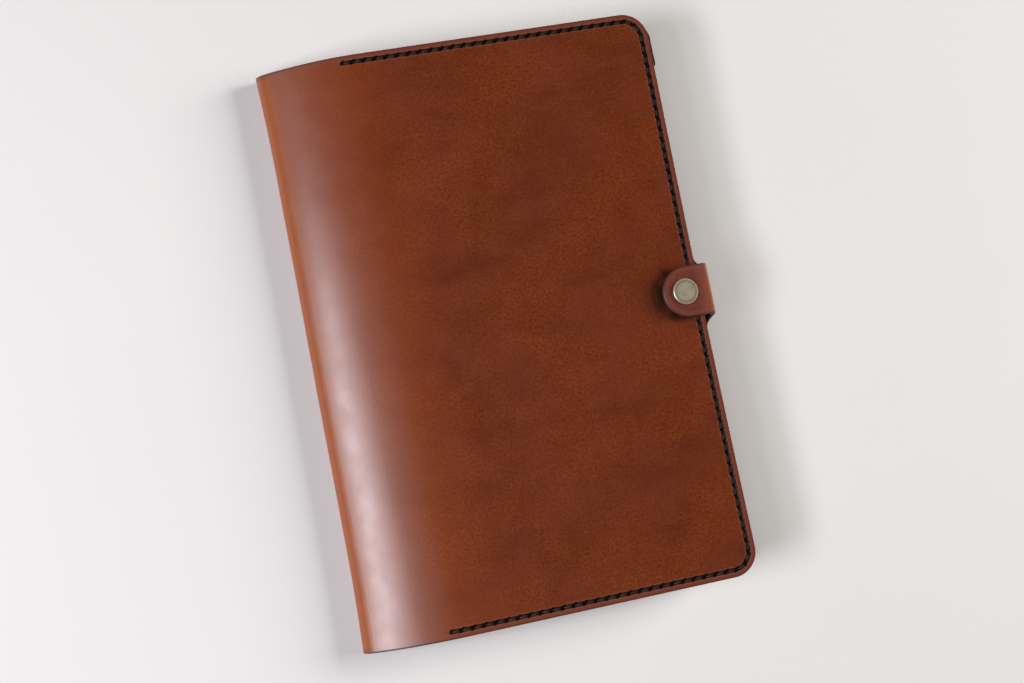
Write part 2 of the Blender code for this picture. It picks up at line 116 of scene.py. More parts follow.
# The snap's cap: its post, its rolled edge, how deep it sits and where its patina lies
CAP_POST_RADIUS, CAP_POST_DEPTH = 1.2, 1.9
ROLL_RADIUS, ROLL_HEIGHT, ROLL_HALF_WIDTH, ROLL_HALF_HEIGHT = 4.47, 0.47, 0.57, 0.5
CAP_SUNK = 0.15
PATINA_BEGIN, PATINA_FULL, PATINA_FADE, PATINA_END = 3.2, 4.15, 4.3, 4.45

# The dent round the cap and the seat under it, and the width of the painted shadow along the tab's outline
DENT_RADIUS, DENT_WIDTH, DENT_DEPTH = 5.0, 0.7, 0.14
SEAT_RADIUS, SEAT_DEPTH = 4.6, 0.25
TAB_SHADOW_REACH = 1.5

# How far the leather spreads at the spine's two ends, at the lower fore corner, the tail and the spine's head
SPINE_FLARE, SPINE_FLARE_LENGTH, SPINE_FLARE_REACH = 0.95, 42.0, 14.0
CORNER_FLARE = 1.4
TAIL_STRETCH, HEAD_STRETCH = 0.45, 0.35

# The leather's unevenness: each swell's height, size and seed. The gain makes the noise reach 1.
RIPPLES = ((0.08, 38, 2.0), (0.014, 13, 7.0))
RIPPLE_GAIN = 1.8

# The notebook's card cover, which eases down from its front to the corner of its spine
CARD = 0.8
EASE_RADIUS, EASE_WIDTH, EASE_TURN = 50.0, 22.3, 8.0
CARD_CORNER, CARD_FOOT = 2.4, 2.0
CARD_ROUND = 0.25

# The pages: leaves in a section, their thickness and unevenness, and how far from the spine the grid is fine
LEAVES, LEAF_SHARE = 9, 0.9
LEAF_SHORT, LEAF_LONG = -0.22, 0.12
PAGE_FINE = 24.0

# Fineness of the meshes, and how far the fine cuts of a bend go on past it
FLAT_STEP, CROWN_STEP, BEND_STEP = 4.0, 1.2, 0.45
RISE_STEP, TAB_STEP, STRAP_WIDTH_STEP = 1.5, 0.7, 0.9
CARD_STEP, CARD_BEND_STEP = 6.0, 0.6
BEND_MARGIN = 2.0
PROFILE_STEP = 0.1

# Over what length a bend of the profile is eased
BEND_BLUR, SPINE_BLUR, CARD_BLUR = 2.4, 6.5, 1.6

# The strip between the spine's two folds that stays rigid through its whole thickness
SPINE_STRIP = 4.4
BLEND_MARGIN = 2.0

# A distance beyond any edge or seam
FAR = 50.0


def arc_length(radius, turn):
    return radius * math.radians(turn)


CROWN = arc_length(CROWN_RADIUS, CROWN_TURN)
SPINE = arc_length(SPINE_RADIUS, SPINE_TURN)
CROWN_X = SPINE_X + SPINE_RADIUS
CROWN_X += (CROWN_RADIUS - SPINE_RADIUS) * math.sin(math.radians(CROWN_TURN))
FRONT_FLAT = FRONT_EDGE_X - CROWN_X
BACK_FLAT = BACK_EDGE_X - SPINE_X - SPINE_RADIUS

# Lengths along the blank, at its edges and at its bends
CROWN_S = FRONT_FLAT
SPINE_S = CROWN_S + CROWN
BACK_S = SPINE_S + SPINE
BACK_EDGE_S = BACK_S + BACK_FLAT
STRAP_S = BACK_EDGE_S + arc_length(STRAP_RADIUS, STRAP_TURN)
TAB_S = STRAP_S + STRAP_RISE
RAMP_S = TAB_S + arc_length(TAB_RADIUS, TAB_TURN)
LEVEL_S = RAMP_S + TAB_RAMP
TAB_FLAT_S = LEVEL_S + arc_length(LEVEL_RADIUS, LEVEL_TURN)
END_S = TAB_FLAT_S + TAB_FLAT
SNAP_S = END_S - SNAP_FROM_END

# The folds' wear: where a fold begins and ends, how far past it the wear fades out, and its share
WORN_FOLDS = (
    (SPINE_S, BACK_S, 7.5, 0.4),
    (SPINE_S, BACK_S, 64.0, 0.6),
    (STRAP_S, RAMP_S, 4.0, 0.4),
)

# Where the blank is cut into meshes, each on leather that stays rigid
SPLITS = {
    "spine_slope": SPINE_S - 3.0,
    "spine_edge": (SPINE_S + BACK_S) / 2,
    "back": (BACK_S + BACK_EDGE_S) / 2,
    "strap": (STRAP_S + TAB_S) / 2,
}


def eased(share):
    """A share from 0 to 1 that starts and ends gently."""
    return share**2 * (3 - 2 * share)


class Profile:
    """A line in the XZ plane. Each run has its length, its turn to the left and the length that eases it."""

    def __init__(self, runs, anchor_s, anchor, heading):
        length = sum(run for run, _, _ in runs)
        self.s = np.linspace(0, length, int(length / PROFILE_STEP) + 1)
        step = self.s[1]
        bend = np.zeros_like(self.s)
        begin = 0.0
        for run, turn, blur in runs:
            inside = (self.s > begin) & (self.s <= begin + run)
            begin += run
            if turn:
                half = int(blur / step / 2)
                kernel = np.ones(2 * half + 1) / (2 * half + 1)
                bend += np.convolve(inside * math.radians(turn) / inside.sum() / step, kernel, mode="same")
        self.heading = math.radians(heading) + np.cumsum(bend) * step
        self.x = np.cumsum(np.cos(self.heading)) * step
        self.z = np.cumsum(np.sin(self.heading)) * step
        at = int(anchor_s / step)
        self.x += anchor[0] - self.x[at]
        self.z += anchor[1] - self.z[at]

    def place(self, s, y, depth):
        """Points at length s (before the start too) and height y, at a depth below the outer face."""
        heading = np.interp(s, self.s, self.heading)
        before = np.minimum(s, 0)
        x = np.interp(s, self.s, self.x) + before * np.cos(heading) - depth * np.sin(heading)
        z = np.interp(s, self.s, self.z) + before * np.sin(heading) + depth * np.cos(heading)
        return np.stack([x, y + 0 * x, z], axis=-1)

    def frame_at(self, s, y, depth):
        """A matrix whose +Z points out of the outer face and whose +X runs back along the line."""
        heading = float(np.interp(s, self.s, self.heading))
        turn = Matrix.Rotation(math.pi - heading, 4, "Y")
        return Matrix.Translation(Vector(self.place(s, y, depth))) @ turn


class Shell(Profile):
    """The cover's profile, which spreads a little towards the corners as used leather does."""

    def place(self, s, y, depth):
        placed = super().place(s, y, depth)
        beyond = np.clip((np.abs(y) - HALF_HEIGHT) / SPINE_FLARE_LENGTH + 1, 0, 1)
        beside = np.exp(-(((s - SPINE_S - SPINE / 2) / SPINE_FLARE_REACH) ** 2))
        placed[..., 0] -= SPINE_FLARE * beside * beyond**2
        front = np.clip(1 - s / SPINE_S, 0, 1)
        tail = np.clip((STRAP_Y - y) / HALF_HEIGHT, 0, 1)
        placed[..., 0] += CORNER_FLARE * front * tail**1.5
        placed[..., 1] -= TAIL_STRETCH * tail
        placed[..., 1] += HEAD_STRETCH * beside * np.clip(y / HALF_HEIGHT, 0, 1) ** 3
        return placed


SHELL = Shell(
    [
        (FRONT_FLAT, 0, 0),
        (CROWN, CROWN_TURN, BEND_BLUR),
        (SPINE, SPINE_TURN, SPINE_BLUR),
        (BACK_FLAT, 0, 0),
        (STRAP_S - BACK_EDGE_S, STRAP_TURN, BEND_BLUR),
        (STRAP_RISE, 0, 0),
        (RAMP_S - TAB_S, TAB_TURN, BEND_BLUR),
        (TAB_RAMP, 0, 0),
        (TAB_FLAT_S - LEVEL_S, LEVEL_TURN, BEND_BLUR),
        (TAB_FLAT, 0, 0),
    ],
    anchor_s=(BACK_S + BACK_EDGE_S) / 2,
    anchor=((SPINE_X + SPINE_RADIUS + BACK_EDGE_X) / 2, 0.0),
    heading=180,
)


def arc(s, y, radius, start, stop, parts):
    """Points of an arc about (s, y), from one angle to another."""
    angles = np.radians(np.linspace(start, stop, parts + 1))
    return [(s + radius * math.cos(a), y + radius * math.sin(a)) for a in angles]


def blank_outline():
    """The flat blank: rounded corners at both fore edges, the strap's root fillets and the round tab."""
    inner = HALF_HEIGHT - CORNER_RADIUS
    root = HALF_STRAP + ROOT_FILLET
    edge = BACK_EDGE_S
    tab_centre = END_S - HALF_STRAP
    points = arc(CORNER_RADIUS, inner, CORNER_RADIUS, 180, 90, 16)
    points += arc(edge - CORNER_RADIUS, inner, CORNER_RADIUS, 90, 0, 16)
    points += arc(edge + ROOT_FILLET, STRAP_Y + root, ROOT_FILLET, 180, 270, 10)
    points += arc(tab_centre, STRAP_Y, HALF_STRAP, 90, -90, 48)
    points += arc(edge + ROOT_FILLET, STRAP_Y - root, ROOT_FILLET, 90, 180, 10)
    points += arc(edge - CORNER_RADIUS, -inner, CORNER_RADIUS, 0, -90, 16)
    points += arc(CORNER_RADIUS, -inner, CORNER_RADIUS, 270, 180, 16)
    return points


def seam_route(edge, inward, start):
    """A seam along the head, down the fore edge and back along the tail, on the flat blank."""
    radius = CORNER_RADIUS - SEAM_INSET
    corner = edge + inward * CORNER_RADIUS
    inner, level = HALF_HEIGHT - CORNER_RADIUS, HALF_HEIGHT - SEAM_INSET
    head = [(start, level)]
    for angle in np.radians(np.linspace(0, 90, 13)):
        head.append((corner - inward * radius * math.sin(angle), inner + radius * math.cos(angle)))
    return head + [(s, -y) for s, y in reversed(head)]


def s_at_front(x):
    """The length along the blank at which the front cover's outer face stands at this x."""
    front = SHELL.s < SPINE_S
    return float(np.interp(-x, -SHELL.x[front], SHELL.s[front]))


def s_at_back(x):
    return BACK_EDGE_S - (BACK_EDGE_X - x)


FRONT_SEAM = seam_route(0.0, 1, s_at_front(POCKET_EDGE_X + SEAM_START))
BACK_SEAM = seam_route(BACK_EDGE_S, -1, s_at_back(POCKET_EDGE_X + SEAM_START))


def nearest(points, line, closed=False):
    """Each flat point's distance from a polyline, its length along it, and how far to the left of it."""
    corners = np.array(line, float)
    starts = corners if closed else corners[:-1]
    runs = (np.roll(corners, -1, axis=0) if closed else corners[1:]) - starts
    best, along, left = np.full(len(points), np.inf), np.zeros(len(points)), np.zeros(len(points))
    passed = 0.0
    for start, run in zip(starts, runs):
        length = math.hypot(*run)
        if length < 1e-6:
            continue
        ahead = run / length
        reach = (points - start) @ ahead
        gaps = points - start - np.clip(reach, 0, length)[:, None] * ahead
        away = np.sqrt((gaps**2).sum(axis=1))
        closer = away < best
        best = np.where(closer, away, best)
        along = np.where(closer, passed + reach, along)
        left = np.where(closer, gaps @ np.array([-ahead[1], ahead[0]]), left)
        passed += length
    return best, along, left


def distance(points, line, closed=False):
    return nearest(points, line, closed)[0]


def route_length(line):
    return float(np.hypot(*np.diff(np.array(line, float), axis=0).T).sum())


def stitch_count(line):
    return round(route_length(line) / STITCH_PITCH)


def rounded(inset, width, drop=None):
    """How far the face drops towards a rounded edge, at this distance in from it."""
    out = np.clip(1 - inset / width, 0, 1)
    return (drop or width) * (1 - np.sqrt(1 - out**2))


def edge_rings(radius, parts, narrow):
    """The widths of the rings from a rounded edge across the seam's groove, narrow beside each crease."""
    angles = np.radians(np.linspace(0, 90, parts + 1))
    lip = SEAM_INSET - GROOVE_WIDTH - radius
    rounding = list(np.diff(radius * (1 - np.cos(angles))))
    return rounding + [narrow, lip - 2 * narrow, narrow] + [GROOVE_WIDTH / 3] * 6 + [narrow]


def ripple(points, scale, seed):
    """Smooth noise from -1 to 1 at flat points, with features of about this size."""
    found = [noise.noise(Vector((s / scale, y / scale, seed))) for s, y in points]
    return np.array(found) * RIPPLE_GAIN


def worn_at(s):
    """How far the leather is stretched and rubbed at its folds, from 0 to 1."""
    worn = np.zeros_like(s)
    for begin, end, margin, most in WORN_FOLDS:
        inside = np.clip(np.minimum(s - begin + margin, end + margin - s) / margin, 0, 1)
        worn += most * eased(inside)
    return worn


def tab_shadow_at(s, y):
    """How dark the front cover is painted along the tab's outline, a painted shadow of the tab's edge, from 0
    to 1.
    """
    tab_x = SHELL.place(np.array(END_S - HALF_STRAP), 0.0, 0.0)[0]
    past_centre = np.maximum(s - (FRONT_EDGE_X - tab_x), 0)
    outside = np.hypot(past_centre, y - STRAP_Y) - HALF_STRAP
    return np.exp(-((outside / TAB_SHADOW_REACH) ** 2))


class Sheet:
    """A flat outline divided finely, with the depths of its two faces at each of its points."""

    def __init__(self, outline, thickness, insets, s_cuts, y_cuts):
        bm = bmesh.new()
        face = bm.faces.new([bm.verts.new((s, y, 0)) for s, y in outline])
        for inset in insets:
            bmesh.ops.inset_individual(bm, faces=[face], thickness=inset, use_even_offset=True)
        for cuts, normal in ((s_cuts, (1, 0, 0)), (y_cuts, (0, 1, 0))):
            for place in cuts:
                geometry = bm.verts[:] + bm.edges[:] + bm.faces[:]
                at = Vector(normal) * place
                bmesh.ops.bisect_plane(bm, geom=geometry, dist=1e-5, plane_co=at, plane_no=normal)
        bmesh.ops.connect_verts_concave(bm, faces=bm.faces[:])
        bm.verts.index_update()
        self.points = np.array([vert.co[:2] for vert in bm.verts])
        self.faces = [[vert.index for vert in face.verts] for face in bm.faces]
        bm.free()
        self.edge = distance(self.points, outline, closed=True)
        self.thickness = thickness
        count = len(self.points)
        self.upper, self.lower = np.zeros(count), np.full(count, float(thickness))
        self.seam, self.across, self.stitch = np.full(count, FAR), np.full(count, FAR), np.zeros(count)

    def sew(self, line):
        """Presses a stitching groove into the upper face, and notes where its stitches fall."""
        away, along, left = nearest(self.points, line)
        near = away < self.seam
        beside = near & (along > -SEAM_OVERRUN) & (along < route_length(line) + SEAM_OVERRUN)
        self.seam = np.where(near, away, self.seam)
        self.across = np.where(beside, left, self.across)
        self.stitch = np.where(near, along * stitch_count(line) / route_length(line), self.stitch)
        press = np.clip(1 - away / GROOVE_WIDTH, 0, 1)
        self.upper += GROOVE_DEPTH * eased(press)

    def piece(self, name, profile, begin=-FAR, end=END_S + FAR, base=0.0):
        """The part of the sheet between two lengths, as a closed mesh bent along the profile.

        It keeps numbers for the materials. The layer is 0 on the grain side and 1 on the flesh side, and
        the stitch counts along the seam.
        """
        kept = [face for face in self.faces if begin < self.points[face, 0].mean() < end]
        used = sorted({index for face in kept for index in face})
        renumber = {old: new for new, old in enumerate(used)}
        count = len(used)
        faces, sides = [], {}
        for face in kept:
            ring = [renumber[index] for index in face]
            faces.append(ring)
            faces.append([index + count for index in reversed(ring)])
            for a, b in zip(ring, ring[1:] + ring[:1]):
                sides[(a, b)] = sides.get((a, b), 0) + 1
        for a, b in list(sides):
            if (b, a) not in sides:
                faces.append([b, a, a + count, b + count])
        s, y = np.tile(self.points[used].T, 2)
        depth = np.concatenate([self.upper[used], self.lower[used]])
        mesh = bpy.data.meshes.new(name)
        mesh.from_pydata(profile.place(s, y, base + depth) * METRES, [], faces)
        layer = depth / self.thickness
        layer[:count] = np.where(self.edge[used] < GRAIN_ROUND, layer[:count], 0)
        unsewn = np.full(count, FAR)
        paint(mesh, "layer", layer)
        paint(mesh, "rim", np.tile(self.edge[used], 2))
        paint(mesh, "seam", np.concatenate([self.seam[used], unsewn]))
        paint(mesh, "stitch", np.tile(self.stitch[used], 2))
        paint(mesh, "across", np.concatenate([self.across[used], unsewn]))
        paint(mesh, "worn", worn_at(s))
        # Painted shadow of the tab's edge on the front cover, kept for the material
        paint(mesh, "tab_shadow", tab_shadow_at(s, y))
        lay_out(mesh, np.stack([s, y], axis=1) / UV_UNIT)
        return finished(name, mesh)


def paint(mesh, name, values):
    """Keeps one number for each point of the mesh, for the materials."""
    attribute = mesh.attributes.new(name, "FLOAT", "POINT")
    attribute.data.foreach_set("value", np.asarray(values, np.float32))


def lay_out(mesh, flat):
    """A UV map that holds each point's flat place."""
    corners = np.empty(len(mesh.loops), np.int32)
    mesh.loops.foreach_get("vertex_index", corners)
    layer = mesh.uv_layers.new(name="flat")
    layer.data.foreach_set("uv", flat[corners].astype(np.float32).ravel())


def added(name, data):
    made = bpy.data.objects.new(name, data)
    bpy.context.scene.collection.objects.link(made)
    return made


def finished(name, mesh, sharp=40):
    """Turns the mesh's faces outwards, shades it smooth and makes it an object."""
    bm = bmesh.new()
    bm.from_mesh(mesh)
    bmesh.ops.recalc_face_normals(bm, faces=bm.faces[:])
    bm.to_mesh(mesh)
    bm.free()
    mesh.shade_smooth()
    mesh.set_sharp_from_angle(angle=math.radians(sharp))
    return added(name, mesh)


def steps(begin, end, size):
    """Even places from begin up to but without end, no further apart than size."""
    count = max(1, math.ceil((end - begin) / size))
    return list(np.linspace(begin, end, count + 1)[:-1])


def dress(made, material):
    made.data.materials.clear()
    made.data.materials.append(material)


# Leather parts


def leather_sheet():
    """The whole blank: fine where it bends and along its seams, with a slight unevenness everywhere."""
    s_cuts = [BACK_EDGE_S - SEAM_INSET + GROOVE_WIDTH * i / 3 for i in range(-3, 4)]
    s_cuts += SPLITS.values()
    before_seam, past_seam, more = BACK_EDGE_S - 6, BACK_EDGE_S - 1.4, BEND_MARGIN
    for begin, end, size in (
        (0, CROWN_S - more, FLAT_STEP),
        (CROWN_S - more, SPINE_S - more, CROWN_STEP),
        (SPINE_S - more, BACK_S + more, BEND_STEP),
        (BACK_S + more, before_seam, FLAT_STEP),
        (past_seam, STRAP_S + more, BEND_STEP),
        (STRAP_S + more, TAB_S - more, RISE_STEP),
        (TAB_S - more, TAB_FLAT_S + more, BEND_STEP),
        (TAB_FLAT_S + more, END_S - 1, TAB_STEP),
    ):
        s_cuts += steps(begin, end, size)
    level, across = HALF_HEIGHT - 2 * FLAT_STEP, HALF_STRAP - 1
    y_cuts = steps(-level, level, FLAT_STEP)
    y_cuts += steps(STRAP_Y - across, STRAP_Y + across, STRAP_WIDTH_STEP)
    rings = edge_rings(GRAIN_ROUND, 4, 0.3) + [1.4]
    sheet = Sheet(blank_outline(), LEATHER, rings, sorted(set(s_cuts)), sorted(set(y_cuts)))
    for height, size, seed in RIPPLES:
        sheet.upper += height * ripple(sheet.points, size, seed)
    sheet.upper -= sheet.upper.min()
    sheet.sew(FRONT_SEAM)
    sheet.sew(BACK_SEAM)
    from_snap = np.hypot(sheet.points[:, 0] - SNAP_S, sheet.points[:, 1] - STRAP_Y)
    sheet.upper += DENT_DEPTH * np.exp(-(((from_snap - DENT_RADIUS) / DENT_WIDTH) ** 2))
    sheet.upper += SEAT_DEPTH * (from_snap < SEAT_RADIUS)
    on_tab = sheet.points[:, 0] > RAMP_S
    bevel = rounded(sheet.edge, TAB_BEVEL, TAB_BEVEL_DROP)
    sheet.upper += np.where(on_tab, bevel, rounded(sheet.edge, GRAIN_ROUND))
    sheet.lower -= rounded(sheet.edge, FLESH_ROUND)
    return sheet


def point(s):
    """A place on the outer face's middle line, in metres."""
    return Vector(SHELL.place(s, 0.0, 0.0)) * METRES


def make_leather(material):
    """Five meshes, each bent across one fold, that meet where the leather between two folds stays rigid."""
    sheet = leather_sheet()
    slope, edge, back, strap = SPLITS.values()
    past_seam, on_slope = FRONT_SEAM[0][0] + BLEND_MARGIN, slope - BLEND_MARGIN
    fold, past_fold = SPINE_S - BLEND_MARGIN / 2, BACK_S + BLEND_MARGIN
    above, below = edge - SPINE_STRIP / 2, edge + SPINE_STRIP / 2
    parts = [
        ("leather_front", -FAR, slope, "front", "spine_slope", past_seam, on_slope, ["front_cover"]),
        ("leather_spine_upper", slope, edge, "spine_slope", "spine_edge", fold, above, ["spine_slope"]),
        ("leather_spine_lower", edge, back, "spine_edge", "back", below, past_fold, ["spine_edge"]),
        ("leather_back", back, strap, "back", "strap", BACK_EDGE_S, STRAP_S, ["back_cover", "strap"]),
        ("leather_tab", strap, END_S + FAR, "strap", "tab", TAB_S, RAMP_S, ["closure_tab"]),
    ]
    for name, begin, end, first, second, start, stop, nodes in parts:
        made = sheet.piece(name, SHELL, begin, end)
        point(start)
        point(stop)
        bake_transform(made)
        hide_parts(*nodes)
        dress(made, material)


def lining_corner(edge, inward, proud):
    """The lining's corner from the head round to the fore edge, where it stands proud of the cover."""
    corner = edge + inward * CORNER_RADIUS
    inner = HALF_HEIGHT - CORNER_RADIUS
    points = []
    for quarter in np.linspace(1, 0, 17):
        angle = quarter * math.pi / 2
        reach = CORNER_RADIUS + proud * max(0.0, 1 - PROUD_FADE * quarter)
        points.append((corner - inward * reach * math.cos(angle), inner + CORNER_RADIUS * math.sin(angle)))
    return points


def lining_outline(edge, inward, mouth, proud=0.0, slip=0.0):
    """A pocket's lining, with the cover's corners at the fore edge and a straight edge at its mouth."""
    head = lining_corner(edge, inward, max(proud, slip))
    tail = [(s, -y) for s, y in reversed(lining_corner(edge, inward, proud))]
    if slip:
        inner = HALF_HEIGHT - CORNER_RADIUS
        begin, end = LINING_STEP
        for reach, y in ((slip, inner - begin), (1.1 * slip, inner - end), (proud, inner - end - 1)):
            head.append((edge - inward * reach, y))
    points = [(mouth, HALF_HEIGHT)] + head + tail + [(mouth, -HALF_HEIGHT)]
    return points if inward < 0 else points[::-1]


def lining_sheet(outline, mouth):
    """A lining, slightly uneven, with a line creased along its mouth."""
    inset = 9
    reach = np.array(outline)[:, 0]
    s_cuts = steps(reach.min() + inset, reach.max() - inset, FLAT_STEP)
    y_cuts = steps(-HALF_HEIGHT + inset, HALF_HEIGHT - inset, FLAT_STEP)
    sheet = Sheet(outline, LINING, edge_rings(LINING_ROUND, 3, 0.25) + [1.0, 1.0], s_cuts, y_cuts)
    from_crease = np.abs(np.abs(sheet.points[:, 0] - mouth) - MOUTH_CREASE)
    sheet.lower -= CREASE_DEPTH * np.clip(1 - from_crease / CREASE_WIDTH, 0, 1)
    sheet.lower -= 0.03 * ripple(sheet.points, 25, 4.0)
    sheet.lower -= rounded(sheet.edge, LINING_ROUND)
    sheet.upper += rounded(sheet.edge, LINING_FACE_ROUND)
    return sheet


def make_linings(material):
    """The front pocket lies flat and empty, and the back one stands off its cover for the notebook's card."""
    mouth = s_at_front(POCKET_EDGE_X)
    front = lining_sheet(lining_outline(0.0, 1, mouth, LINING_PROUD, LINING_SLIP), mouth)
    made = front.piece("front_pocket", SHELL, base=LEATHER + GLUE_LINE)
    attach(made, "front")
    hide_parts("front_pocket_lining")
    dress(made, material)

    mouth = s_at_back(POCKET_EDGE_X)
    back = lining_sheet(lining_outline(BACK_EDGE_S, -1, mouth), mouth)
    beyond = np.abs(back.points[:, 1]) > HALF_HEIGHT - SEAM_INSET
    beyond |= back.points[:, 0] > BACK_EDGE_S - SEAM_INSET
    from_seam = np.where(beyond, 0, distance(back.points, BACK_SEAM))
    lift = POCKET_GAP * eased(np.clip(from_seam / POCKET_GAP_REACH, 0, 1))
    back.upper += lift
    back.lower += lift
    made = back.piece("back_pocket", SHELL, base=LEATHER + GLUE_LINE)
    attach(made, "back")
    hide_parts("back_pocket_lining")
    dress(made, material)


# Stitching


def stitches_along(route):
    """The middle of each stitch along a flat route, with the direction of the route there."""
    corners = np.array(route, float)
    reach = np.concatenate([[0], np.cumsum(np.hypot(*np.diff(corners, axis=0).T))])
    count = stitch_count(route)
    places = (np.arange(count) + 0.5) * reach[-1] / count
    found = []
    for place in places:
        ends = [np.array([np.interp(place + d, reach, corners[:, k]) for k in (0, 1)]) for d in (-0.5, 0.5)]
        ahead = (ends[1] - ends[0]) / np.linalg.norm(ends[1] - ends[0])
        found.append(((ends[0] + ends[1]) / 2, ahead))
    return found


def strand(centre, ahead, across, slant, thick, face, outward):
    """One stitch: rings of (s, y, depth) that sink and narrow towards its holes, and their flat places."""
    points, flat = [], []
    for ring in range(STITCH_RINGS):
        t = 2 * ring / (STITCH_RINGS - 1) - 1
        middle = centre + ahead * t * (STITCH_PITCH - STITCH_GAP) / 2 + across * slant * t
        sink = 0.08 + t**2
        radius = thick * (1 - 0.4 * abs(t) ** 3)
        for side in range(STITCH_SIDES):
            angle = math.tau * side / STITCH_SIDES
            place = middle + across * radius * math.cos(angle)
            depth = face + outward * (radius * 0.85 * math.sin(angle) - sink)
            points.append((place[0], place[1], depth))
            flat.append((t * STITCH_PITCH / 2 / UV_UNIT, side / STITCH_SIDES))
    return points, flat


def tube_faces(start, rings, sides):
    """The faces of a closed tube whose points begin at start and go round ring by ring."""
    faces = []
    for ring in range(rings - 1):
        for side in range(sides):
            a, b = start + ring * sides + side, start + ring * sides + (side + 1) % sides
            faces.append((a, b, b + sides, a + sides))
    faces.append(tuple(start + i for i in reversed(range(sides))))
    faces.append(tuple(start + (rings - 1) * sides + i for i in range(sides)))
    return faces


def make_stitches(name, route, face, outward, lean, body, material, seed):
    """A row of slanted saddle stitches, each a strand that dips into its holes at both ends."""
    chance = random.Random(seed)
    points, faces, flat = [], [], []
    for centre, ahead in stitches_along(route):
        across = lean * np.array([-ahead[1], ahead[0]])
        slant = STITCH_SLANT + chance.uniform(-0.05, 0.05)
        thick = STITCH_RADIUS * chance.uniform(0.93, 1.05)
        faces += tube_faces(len(points), STITCH_RINGS, STITCH_SIDES)
        spots, places = strand(centre, ahead, across, slant, thick, face, outward)
        points += spots
        flat += places
    mesh = bpy.data.meshes.new(name)
    mesh.from_pydata(SHELL.place(*np.array(points).T) * METRES, [], faces)
    lay_out(mesh, np.array(flat))
    made = finished(name, mesh, sharp=60)
    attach(made, body)
    dress(made, material)
    return made


def make_seams(material):
    """Each seam shows on both sides: outside in its groove, at its own depth, and inside on the lining."""
    inner = LEATHER + GLUE_LINE + LINING - 0.1
    for body, seam, outer, lean, seed in (("front", FRONT_SEAM, 0.16, -1, 3), ("back", BACK_SEAM, 0.5, 1, 7)):
        made = make_stitches(body + "_stitches", seam, outer, -1, lean, body, material, seed)
        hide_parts(body + "_seam_thread")
        make_stitches(body + "_stitches_inside", seam, inner, 1, -lean, body, material, seed + 2)


# The snap and the notebook


def turned(name, profile, steps_round, place):
    """A closed body of revolution from (radius, height) points that start and end on the axis."""
    bm = bmesh.new()
    verts = [bm.verts.new((radius, 0, height)) for radius, height in profile]
    edges = [bm.edges.new(pair) for pair in zip(verts, verts[1:])]
    bmesh.ops.spin(bm, geom=verts + edges, axis=(0, 0, 1), cent=(0, 0, 0), steps=steps_round, angle=math.tau)
    bmesh.ops.remove_doubles(bm, verts=bm.verts[:], dist=1e-4)
    bm.transform(Matrix.Scale(METRES, 4) @ place)
    mesh = bpy.data.meshes.new(name)
    bm.to_mesh(mesh)
    bm.free()
    return finished(name, mesh, sharp=50)


def make_cap(material):
    """The snap's cap: a shallow dome with a rolled edge, sunk a little into the leather."""
    profile = [(0, -CAP_POST_DEPTH), (CAP_POST_RADIUS, -CAP_POST_DEPTH), (CAP_POST_RADIUS, 0), (4.5, 0)]
    for angle in np.radians(np.linspace(-60, 78, 14)):
        radius = ROLL_RADIUS + ROLL_HALF_WIDTH * math.cos(angle)
        profile.append((radius, ROLL_HEIGHT + ROLL_HALF_HEIGHT * math.sin(angle)))
    profile += [(4.4, 0.9), (4.2, 0.84), (3.9, 0.88), (3.4, 0.98)]
    profile += [(2.8, 1.07), (2.0, 1.15), (1.0, 1.2), (0, 1.21)]
    place = SHELL.frame_at(SNAP_S, STRAP_Y, CAP_SUNK)
    made = turned("snap_cap_face", profile, 96, place)
    own = place.inverted()
    paint(made.data, "radius", [(own @ (vert.co / METRES)).xy.length for vert in made.data.vertices])
    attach(made, "tab")
    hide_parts("snap_cap")
    dress(made, material)


def notebook_profile():
    """The outer face of the notebook's card, which eases down to a rounded spine, and its whole length."""
    below, above = low("notebook_cover"), high("notebook_cover")
    slope = math.radians(EASE_TURN)
    bend = arc_length(EASE_RADIUS, EASE_TURN)
    flat = above.x - below.x - EASE_WIDTH
    ramp_across = EASE_WIDTH - EASE_RADIUS * math.sin(slope) - CARD_CORNER * (1 - math.sin(slope))
    ramp = ramp_across / math.cos(slope)
    ramp_drop = ramp * math.sin(slope) + EASE_RADIUS * (1 - math.cos(slope))
    spine = above.z - below.z - ramp_drop - CARD_CORNER * math.cos(slope) - CARD_FOOT
    base = above.x - below.x - CARD_FOOT
    rest = 90 - EASE_TURN
    turns = [(flat, 0), (bend, EASE_TURN), (ramp, 0), (arc_length(CARD_CORNER, rest), rest)]
    turns += [(spine, 0), (arc_length(CARD_FOOT, 90), 90), (base, 0)]
    total = sum(run for run, _ in turns)
    middle = (below.x + CARD_FOOT + above.x) / 2
    runs = [(run, turn, CARD_BLUR) for run, turn in turns]
    return Profile(runs, total - base / 2, (middle, below.z), 180), total


def make_notebook_cover(material):
    """One card round the notebook, fine where it bends."""
    profile, total = notebook_profile()
    half = high("notebook_cover").y
    outline = [(0.0, -half), (total, -half), (total, half), (0.0, half)]
    bends_begin, bends_end = total / 2 - 30, total / 2 + 24
    s_cuts = steps(2, bends_begin, CARD_STEP) + steps(bends_begin, bends_end, CARD_BEND_STEP)
    s_cuts += steps(bends_end, total, CARD_STEP)
    card = Sheet(outline, CARD, [0.12, 0.2], s_cuts, steps(-half + 4, half - 4, 8))
    card.upper += rounded(card.edge, CARD_ROUND)
    card.lower -= rounded(card.edge, CARD_ROUND)
    made = card.piece("notebook_card", profile)
    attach(made, "back")
    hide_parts("notebook_cover")
    dress(made, material)


def section_outline(node):
    """A page section's lower and upper line, read from its CAD solid: (x, (low z, high z)), in order of x."""
    lines = {}
    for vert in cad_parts[node].data.vertices:
        x, z = round(vert.co.x / METRES, 2), vert.co.z / METRES
        bottom, top = lines.get(x, (z, z))
        lines[x] = (min(bottom, z), max(top, z))
    return sorted(lines.items())


